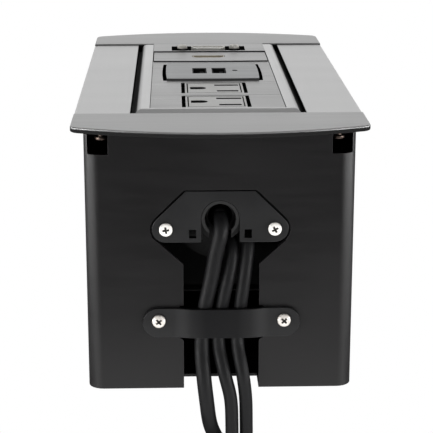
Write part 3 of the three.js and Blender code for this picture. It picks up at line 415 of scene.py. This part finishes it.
for side in ("left", "right"):
    panel = brushed_metal(f"{side}_panel_metal", grey(0.48), along="y", streak=0.01, grain=0.03).material
    deep(panel, "-z", top_of(f"side_panel_{side}") - 0.3 * MM, SHADE, 0.4 * MM)
    dress(f"side_panel_{side}", panel, 0.1 * MM)
    dress(f"core_shell_{side}", CORE_BLACK)
    nut = plated(f"{side}_nut_metal_and_shade", (1.0, 0.97, 0.9), roughness=0.4, metallic=0.0).material
    # painted shade: the nut turns black from 1.2 mm below its top
    deep(nut, "-z", top_of(f"vga_nut_{side}") - 1.2 * MM, BLACK, 0.5 * MM)
    dress(f"vga_nut_{side}", nut, 0.1 * MM)
dress("stop_pin", NICKEL)

# the core's skin, with painted shade down its flanks and up the lid's sides, and matt on its front lip
FRAME_METAL = brushed_metal("frame_metal", grey(0.54), along="y", streak=0.02).material
# painted shade: matt grey 0.09 from just under the top, fading in over 1 mm down the flanks
deep(FRAME_METAL, "-z", top_of("core_frame") - 0.05 * MM, grey(0.09), 1.0 * MM)
deep(FRAME_METAL, "-y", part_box("core_frame")[0].y + END_SLOPE, grey(0.6), 0.4 * MM)
dress("core_frame", FRAME_METAL)
LID_METAL = brushed_metal("lid_metal", grey(0.49), along="y", streak=0.03).material
# painted shade: the lid turns dark from just above its outer face, up its sides
deep(LID_METAL, "+z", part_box("core_lid")[0].z + 0.03 * MM, grey(0.03), 0.8 * MM)
dress("core_lid", LID_METAL)

# what sits in the core
for number in (1, 2):
    outlet = moulded(f"outlet_{number}_plastic", (0.49, 0.49, 0.48), roughness=0.4, metallic=0.5).material
    # painted shade in the outlet's cut-outs, below its top
    deep(outlet, "-z", top_of(f"outlet_{number}") - STEP, CUT)
    dress(f"outlet_{number}", outlet, 0.06 * MM)
    dress(f"usb_port_{number}", CORE_BLACK, 0.05 * MM)
for node in ("socket_plate_1", "socket_plate_2", "usb_plate", "hdmi_plate", "vga_plate"):
    dress(node, plate_metal(node), 0.06 * MM)
dress("usb_module", plate_metal("usb_module", (0.175, 0.18, 0.185), grey(0.16)), 0.06 * MM)
for node, material in {
    "power_led": LENS, "usb_board": BOARD, "hdmi_port": BRASS, "vga_port": SHELL_METAL,
    "vga_insert": INSULATOR, "live_busbar": BRASS, "neutral_busbar": BRASS, "earth_busbar": BRASS,
}.items():
    dress(node, material, 0.06 * MM)


# ---------------------------------------------------------------- screws
# painted shade: the dark metal on the faces inside each cross recess
RECESS_SHADE = plated("screw_recess_shade", (0.05, 0.045, 0.04), roughness=0.5, metallic=0.5).material
RIM = 0.8 * MM                          # straight side of a pan head
DOME = 0.9 * MM                         # height of the dome on it
HEAD = RIM + DOME
SHANK = 1.3 * MM                        # radius
CHAMFER = 0.15 * MM
CROSS = (3.3 * MM, 0.95 * MM)           # length and width of the cross at the top of the head
CROSS_TAPER = 0.62                      # its size at the bottom, as a share of that
CROSS_HEIGHT = 1.7 * MM                 # of the cutter, which stands half out of the head
CROSS_REACH = 0.75                      # share of the head's radius inside which the cross lies
SEGMENTS = 40


def lathe(bm, profile):
    """Turns (radius, height) points about +Z into faces."""
    rings = []
    for radius, height in profile:
        if radius == 0:
            rings.append([bm.verts.new((0, 0, height))] * SEGMENTS)
            continue
        angles = [2 * math.pi * i / SEGMENTS for i in range(SEGMENTS)]
        rings.append([bm.verts.new((radius * math.cos(a), radius * math.sin(a), height)) for a in angles])
    for low, high in zip(rings, rings[1:]):
        for i in range(SEGMENTS):
            j = (i + 1) % SEGMENTS
            corners = [low[i], low[j], high[j], high[i]]
            face = list(dict.fromkeys(corners))
            if len(face) > 2:
                bm.faces.new(face)


def pan_head(name, radius, length):
    """A plain pan head standing on z = 0, with its shank below."""
    dome = []
    for degrees in range(10, 90, 10):
        a = math.radians(degrees)
        dome.append((radius * math.cos(a), RIM + DOME * math.sin(a)))
    shank = [(0, HEAD - length), (SHANK, HEAD - length), (SHANK, 0)]
    rim = [(radius - CHAMFER, 0), (radius, CHAMFER), (radius, RIM)]
    bm = bmesh.new()
    lathe(bm, shank + rim + dome + [(0, HEAD)])
    bmesh.ops.recalc_face_normals(bm, faces=bm.faces)
    return new_object(name, bm)


def cross_cutter(name):
    """Two tapered bars across each other, centred on the top of the head."""
    bm = bmesh.new()
    for quarter in (0, 1):
        for v in bmesh.ops.create_cube(bm, size=1)["verts"]:
            taper = CROSS_TAPER if v.co.z < 0 else 1.0
            x, y = v.co.x * CROSS[0] * taper, v.co.y * CROSS[1] * taper
            v.co = Vector((x, y, HEAD + v.co.z * CROSS_HEIGHT))
            if quarter:
                v.co = Vector((-v.co.y, v.co.x, v.co.z))
    return new_object(name, bm)


def cut(obj, cutter):
    """Cuts one object from another for good, and removes the cutter."""
    boolean = obj.modifiers.new("cross", "BOOLEAN")
    boolean.object = cutter
    boolean.operation = "DIFFERENCE"
    boolean.solver = "EXACT"
    boolean.use_self = True
    depsgraph = bpy.context.evaluated_depsgraph_get()
    mesh = bpy.data.meshes.new_from_object(obj.evaluated_get(depsgraph))
    obj.modifiers.clear()
    obj.data = mesh
    bpy.data.objects.remove(cutter)


def pan_screw(node, facing, turn, material):
    """A cross-recessed pan head with a rolled rim, standing where the CAD screw does."""
    low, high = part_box(node)
    axis = 2 if facing == "down" else 1
    sign = 1 if facing == "back" else -1
    radius = (high.x - low.x) / 2
    screw = pan_head(node + "_fine", radius, high[axis] - low[axis])
    cut(screw, cross_cutter(node + "_cross"))
    mesh = screw.data
    mesh.materials.clear()
    mesh.materials.append(material)
    mesh.materials.append(RECESS_SHADE)
    # painted shade: faces inside the cross, under the head's skin, get the dark recess material
    for polygon in mesh.polygons:
        reach = math.hypot(polygon.center.x, polygon.center.y) / radius
        if reach >= CROSS_REACH:
            continue
        skin = RIM + DOME * math.sqrt(1 - reach ** 2)
        if 0 < polygon.center.z < skin - CHAMFER:
            polygon.material_index = 1
    centre = (low + high) / 2
    face = high[axis] if facing == "back" else low[axis]
    centre[axis] = face - sign * HEAD
    quarter_turns = {"front": 1, "back": -1, "down": 2}[facing]
    tilt = Matrix.Rotation(quarter_turns * math.pi / 2, 4, "X")
    mesh.transform(Matrix.Translation(centre) @ tilt @ Matrix.Rotation(math.radians(turn), 4, "Z"))
    soften(screw, 0.06 * MM, 30)
    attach(screw, "flip_core" if "core" in node else "housing")
    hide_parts(node)


# which way each pair faces, and how far its left and right crosses are turned, in degrees
SCREWS = {
    "front_bearing": ("front", 8, 28),
    "strap": ("front", 40, 46),
    "rear_bearing": ("back", 15, 62),
    "front_cap": ("down", 20, 5),
    "rear_cap": ("down", 33, 70),
    "front_core": ("front", 12, 50),
    "rear_core": ("back", 80, 25),
}
# the cap screws are black oxide; the bearing screws get the lit copy of the nickel
SCREW_MATERIALS = {"cap": BLACK_OXIDE, "bearing": LIT_NICKEL}
for kind, (facing, *turns) in SCREWS.items():
    head_material = SCREW_MATERIALS.get(kind.split("_")[-1], NICKEL)
    for side, turn in zip(("left", "right"), turns):
        pan_screw(f"{kind}_screw_{side}", facing, turn, head_material)


# ---------------------------------------------------------------- cables and strap
CABLE_SWELL = 0.3 * MM                  # what subdivision takes off the radius of an eight-sided tube
STRAP_THICKNESS = 1.5 * MM
RAMP_START, RAMP_END = 18.5 * MM, 11.0 * MM     # the strap rises between these distances from its middle
CROWN = 0.9 * MM                        # how far the middle bows out between the ramps
EDGE = 0.35 * MM                        # rounding of the strap's long edges
NIP = (0.1 * MM, 0.12 * MM)             # middle of that rounding, in from the front and from the side
TIP = 0.6 * MM                          # half the strap's height at its very ends


def fine_cable(node, body):
    """The CAD cable's faceted tube, made of quads again and rounded."""
    bm = bmesh.new()
    bm.from_mesh(NODES[node].data)
    bmesh.ops.remove_doubles(bm, verts=bm.verts, dist=0.01 * MM)
    bmesh.ops.join_triangles(bm, faces=bm.faces, angle_face_threshold=math.radians(25),
                             angle_shape_threshold=math.radians(60))
    bm.normal_update()
    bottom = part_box(node)[0].z
    for vert in bm.verts:
        vert.co += vert.normal * CABLE_SWELL
        vert.co.z = max(vert.co.z, bottom)
    for face in bm.faces:
        face.smooth = True
    obj = new_object(node + "_fine", bm)
    subsurf = obj.modifiers.new("round", "SUBSURF")
    subsurf.levels = subsurf.render_levels = 2
    obj.data.materials.append(CABLE)
    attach(obj, body)
    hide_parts(node)


def strap_section(x, half, radius, bulge, back):
    """The strap's outline at x, as (y, z) points. x and z are measured from its middle, and its back is at
    y = `back`."""
    over = max(0.0, abs(x) - (half - radius))
    tall = math.sqrt(max(radius ** 2 - over ** 2, TIP ** 2))
    s = min(1, max(0, (RAMP_START - abs(x)) / (RAMP_START - RAMP_END)))
    bow = CROWN * max(0, 1 - (x / RAMP_START) ** 2)
    out = (bulge - CROWN) * s * s * (3 - 2 * s) + bow
    y0, y1 = back - out, back - out - STRAP_THICKNESS
    return [
        (y0, -tall), (y1 + EDGE, -tall), (y1 + NIP[0], -tall + NIP[1]), (y1, -tall + EDGE), (y1, 0),
        (y1, tall - EDGE), (y1 + NIP[0], tall - NIP[1]), (y1 + EDGE, tall), (y0, tall),
    ]


def strap():
    """The cable strap: flat lugs, smooth ramps and a slightly bowed middle that shines less."""
    low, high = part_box("cable_strap")
    middle_x, middle_z = (low.x + high.x) / 2, (low.z + high.z) / 2
    half, radius = (high.x - low.x) / 2, (high.z - low.z) / 2
    bulge = high.y - low.y - STRAP_THICKNESS
    steps = 96
    bm = bmesh.new()
    sections = []
    for i in range(steps + 1):
        x = half * (-1 + 2 * i / steps)
        ring = strap_section(x, half, radius, bulge, high.y)
        sections.append([bm.verts.new((middle_x + x, y, middle_z + z)) for y, z in ring])
    for a, b in zip(sections, sections[1:]):
        for j in range(len(a)):
            k = (j + 1) % len(a)
            bm.faces.new((a[j], b[j], b[k], a[k]))
    bm.faces.new(sections[0])
    bm.faces.new(list(reversed(sections[-1])))
    bmesh.ops.recalc_face_normals(bm, faces=bm.faces)
    obj = new_object("cable_strap_fine", bm)
    shader = moulded("strap_plastic", (0.011, 0.011, 0.0115), roughness=0.42)
    split = shader.add("ShaderNodeSeparateXYZ")
    shader.link(shader.place, split.inputs[0])
    aside = shader.math("ABSOLUTE", shader.math("SUBTRACT", split.outputs["X"], middle_x), 0)
    shader.drive("Specular IOR Level", shader.ramp(aside, 6 * MM, 15 * MM, 0.05, 0.27))
    obj.data.materials.append(shader.material)
    soften(obj, 0, 40)
    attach(obj, "housing")
    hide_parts("cable_strap")


for name in ("power", "hdmi", "vga"):
    fine_cable(f"{name}_cable", "housing")
    fine_cable(f"{name}_inner_run", "flip_core")
strap()


# ---------------------------------------------------------------- floor, light and camera
FLOOR_Z = CAD_BOX[0][2] - 0.5 * MM
FLOOR_HALF = 4.0
PAPER = grey(0.22)
# the backdrop's strength grows with the Y part of the direction, which is 1 straight behind the part
BACKDROP = {"From Min": 0.2, "From Max": 1.0, "To Min": 0.06, "To Max": 1.1}
SIDE_AIM = (0, -0.05, 0.03)
LOW_Y = FRONT - 0.085                   # the low light lies on the floor here and shines straight up
CAMERA_PLACE = (-17.8 * MM, -635.0 * MM, SEAT + 117.1 * MM)
CAMERA_PITCH = math.radians(15.86)      # downwards
CAMERA_YAW = math.radians(1.76)         # to the right
CAMERA_LENS, CAMERA_SENSOR = 120.9, 36  # both in millimetres


def floor():
    """Plain white paper: pure white to the camera, a soft grey bounce to everything else, and clear
    from below."""
    bm = bmesh.new()
    bmesh.ops.create_grid(bm, x_segments=1, y_segments=1, size=FLOOR_HALF)
    obj = new_object("floor", bm)
    obj.location.z = FLOOR_Z
    material = bpy.data.materials.new("floor_paper")
    material.use_nodes = True
    tree = material.node_tree
    tree.nodes.clear()
    output = tree.nodes.new("ShaderNodeOutputMaterial")
    mix = tree.nodes.new("ShaderNodeMixShader")
    rays = tree.nodes.new("ShaderNodeLightPath")
    paper = tree.nodes.new("ShaderNodeBsdfDiffuse")
    paper.inputs["Color"].default_value = (*PAPER, 1)
    glow = tree.nodes.new("ShaderNodeEmission")
    tree.links.new(rays.outputs["Is Camera Ray"], mix.inputs[0])
    tree.links.new(paper.outputs[0], mix.inputs[1])
    tree.links.new(glow.outputs[0], mix.inputs[2])
    side = tree.nodes.new("ShaderNodeNewGeometry")
    clear = tree.nodes.new("ShaderNodeBsdfTransparent")
    one_way = tree.nodes.new("ShaderNodeMixShader")
    tree.links.new(side.outputs["Backfacing"], one_way.inputs[0])
    tree.links.new(mix.outputs[0], one_way.inputs[1])
    tree.links.new(clear.outputs[0], one_way.inputs[2])
    tree.links.new(one_way.outputs[0], output.inputs[0])
    obj.data.materials.append(material)


def area(name, place, target, size, watts):
    """A soft rectangular light that lights the object but isn't seen itself."""
    light = bpy.data.lights.new(name, "AREA")
    light.shape = "RECTANGLE"
    light.size, light.size_y = size
    light.energy = watts
    obj = bpy.data.objects.new(name, light)
    obj.location = place
    obj.rotation_euler = (Vector(target) - Vector(place)).to_track_quat("-Z", "Y").to_euler()
    obj.visible_camera = False
    bpy.context.scene.collection.objects.link(obj)


def studio():
    """A backdrop that is bright behind the part and falls off to a dim room in front of it. The camera
    sees it white all round."""
    sky = bpy.data.worlds.new("studio")
    sky.use_nodes = True
    tree = sky.node_tree
    background = tree.nodes["Background"]
    background.inputs["Color"].default_value = (1, 1, 1, 1)
    place = tree.nodes.new("ShaderNodeTexCoord")
    split = tree.nodes.new("ShaderNodeSeparateXYZ")
    tree.links.new(place.outputs["Generated"], split.inputs[0])
    ramp = tree.nodes.new("ShaderNodeMapRange")
    for key, value in BACKDROP.items():
        ramp.inputs[key].default_value = value
    tree.links.new(split.outputs["Y"], ramp.inputs["Value"])
    rays = tree.nodes.new("ShaderNodeLightPath")
    seen = tree.nodes.new("ShaderNodeMath")
    seen.operation = "MAXIMUM"
    tree.links.new(rays.outputs["Is Camera Ray"], seen.inputs[0])
    tree.links.new(ramp.outputs["Result"], seen.inputs[1])
    tree.links.new(seen.outputs[0], background.inputs["Strength"])
    bpy.context.scene.world = sky


def camera():
    """Before the cable end, a little to the left and above, looking down at it."""
    data = bpy.data.cameras.new("camera")
    data.lens, data.sensor_width = CAMERA_LENS, CAMERA_SENSOR
    data.clip_start = 0.01
    obj = bpy.data.objects.new("camera", data)
    bpy.context.scene.collection.objects.link(obj)
    obj.location = CAMERA_PLACE
    level = math.cos(CAMERA_PITCH)
    ahead = Vector((math.sin(CAMERA_YAW) * level, math.cos(CAMERA_YAW) * level, -math.sin(CAMERA_PITCH)))
    obj.rotation_euler = ahead.to_track_quat("-Z", "Y").to_euler()
    bpy.context.scene.camera = obj


floor()
studio()
# each light's place, what it is aimed at and its size are in metres, and the last number is watts
area("top_softbox", (0.0, 0.1, 1.2), (0, 0, SEAT), (1.2, 1.0), 2.2)
area("front_high", (0, -2, 0.9), (0, 0, SEAT), (4, 1), 9)
area("side_left", (-0.62, -0.26, 0.03), SIDE_AIM, (0.9, 0.12), 5.5)
area("side_right", (0.62, -0.26, 0.03), SIDE_AIM, (0.9, 0.12), 5)
area("front_low", (0, LOW_Y, FLOOR_Z + 3 * MM), (0, LOW_Y + 0.1 * MM, SEAT), (0.34, 0.13), 0.24)
camera()
bpy.context.scene.view_settings.view_transform = "Standard"
